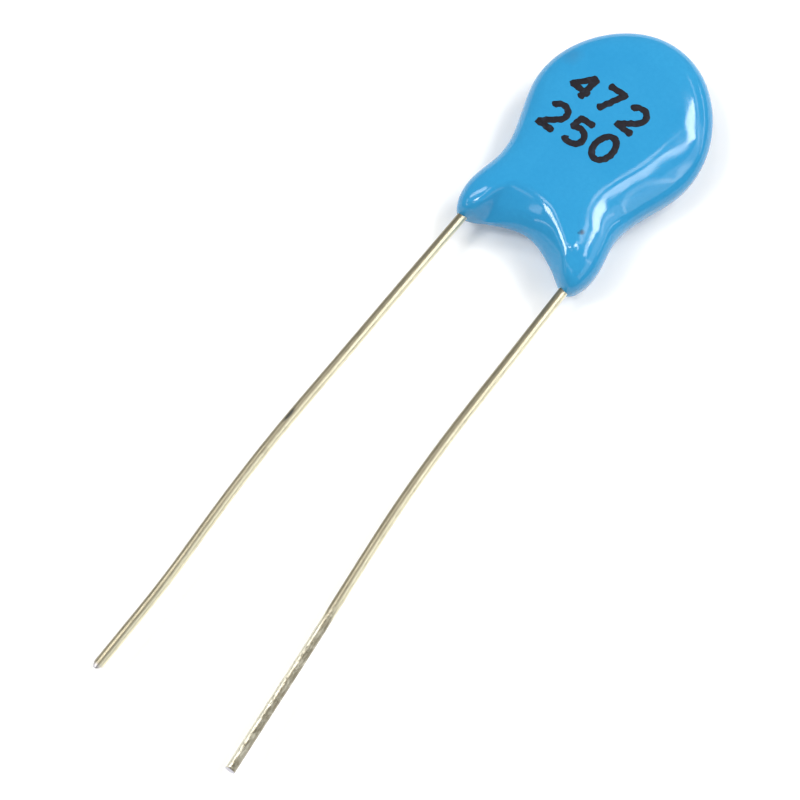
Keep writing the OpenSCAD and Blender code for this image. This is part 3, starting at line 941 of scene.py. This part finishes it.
# %% [markdown]
# ## Light
#
# A bright softbox stands high on the right and another on the left, windows and strips of less
# light stand around them, and an even room light fills the rest. A glossy coat only shows its
# form by what it reflects: the lamps draw broad streaks along the crests, thinner ones follow the
# rim and the hips, and the flat face looks between the lamps, so it keeps its plain blue. A
# lamp's name tells its side. The room is seen by camera rays as white.

# %% Light the room
world = bpy.data.worlds.new("room")
bpy.context.scene.world = world
world.use_nodes = True
tree = world.node_tree
tree.nodes.clear()
path = add(tree, "ShaderNodeLightPath")
fill = add(tree, "ShaderNodeBackground", {"Color": (0.95, 0.97, 1.0, 1), "Strength": 0.26})
backdrop = add(tree, "ShaderNodeBackground", {"Color": (1, 1, 1, 1), "Strength": 1.0})
which = add(tree, "ShaderNodeMixShader", {0: path.outputs["Is Camera Ray"], 1: fill.outputs[0],
                                          2: backdrop.outputs[0]})
add(tree, "ShaderNodeOutputWorld", {"Surface": which.outputs[0]})


def direction(azimuth, elevation):
    """A unit vector: the azimuth runs from +Y towards +X, and both are in degrees."""
    a, e = np.radians(azimuth), np.radians(elevation)
    return Vector((np.sin(a) * np.cos(e), np.cos(a) * np.cos(e), np.sin(e)))


def standing(place, *axes):
    """The matrix of an object at a place, whose own x, y and z point along the given axes."""
    return Matrix.Translation(place) @ Matrix(axes).transposed().to_4x4()


def softbox(name, start, end, high, radiance):
    """A long lamp that faces the part, between two directions (azimuth, elevation). `high` is its
    height as an angle. Its power is pi times the radiance times the area."""
    first, last = direction(*start), direction(*end)
    away = (first + last).normalized()
    along = (last - first).normalized()
    lamp = bpy.data.lights.new(name, "AREA")
    lamp.shape = "RECTANGLE"
    lamp.size = 2 * LAMP_DISTANCE * np.tan(first.angle(last) / 2)
    lamp.size_y = 2 * LAMP_DISTANCE * np.tan(np.radians(high / 2))
    lamp.energy = np.pi * radiance * lamp.size * lamp.size_y
    lamp.color = LAMP_COLOUR
    made = new_object(name, lamp)
    made.matrix_world = standing(away * LAMP_DISTANCE, along, away.cross(along), away)
    print(f"{name}: {lamp.size:.3f} x {lamp.size_y:.3f} m, {lamp.energy:.2f} W")


LAMP_DISTANCE, LAMP_COLOUR = 0.4, (1.0, 0.985, 0.96)
# Each lamp's name, the directions of its two ends, its height as an angle, and its radiance
LAMPS = [
    ("right_softbox", (7, 52), (40, 54), 13, 15.5),
    ("right_narrow_window", (38, 61.5), (68, 63.5), 8, 7.5),
    ("right_thin_strip", (3, 65.5), (26, 70.5), 4.5, 5),
    ("right_wide_window", (30, 31), (114, 31), 22, 1.3),
    ("right_side_strip", (74, 30), (74, 58), 3.5, 3),
    ("right_low_strip", (3, 39), (50, 37), 4, 2.5),
    ("right_rim_strip", (15, 21), (60, 19), 3, 4),
    ("left_softbox", (-119, 55), (-139, 54), 15, 17),
    ("left_upper_window", (-80, 69), (-140, 70), 7, 4.5),
    ("left_hip_window", (-84, 58), (-109, 33), 7, 7),
    ("left_back_window", (-144, 44), (-164, 44), 9, 2.5),
    ("left_dim_window", (-165, 56), (140, 58), 8, 1.5),
    ("left_low_strip", (-112, 26), (-160, 20), 4, 3.5),
]
for lamp in LAMPS:
    softbox(*lamp)

# %% [markdown]
# ## Camera
#
# The camera looks down steeply from below the part's wires, about 14 degrees off the vertical,
# and is turned so that the wires run to the lower left. It stands 85 mm from the plate with a
# 60 mm lens, so near things look slightly larger. Its right-hand side stays level.

# %% Set the camera
view = bpy.data.cameras.new("view")
view.lens, view.sensor_width = 60, 36
view.clip_start, view.clip_end = 0.001, 10
camera = new_object("camera", view)
stand = Vector((11.58, -35.34, 76.14))
look = Vector((-0.1467, 0.1838, -0.97196)).normalized()
right = Vector((0.7815, 0.6239, 0)).normalized()
camera.matrix_world = standing(stand * MM, right, right.cross(look), -look)
bpy.context.scene.camera = camera
bpy.context.scene.view_settings.view_transform = "Standard"
print("camera at", [round(c / MM, 1) for c in camera.location], "mm")
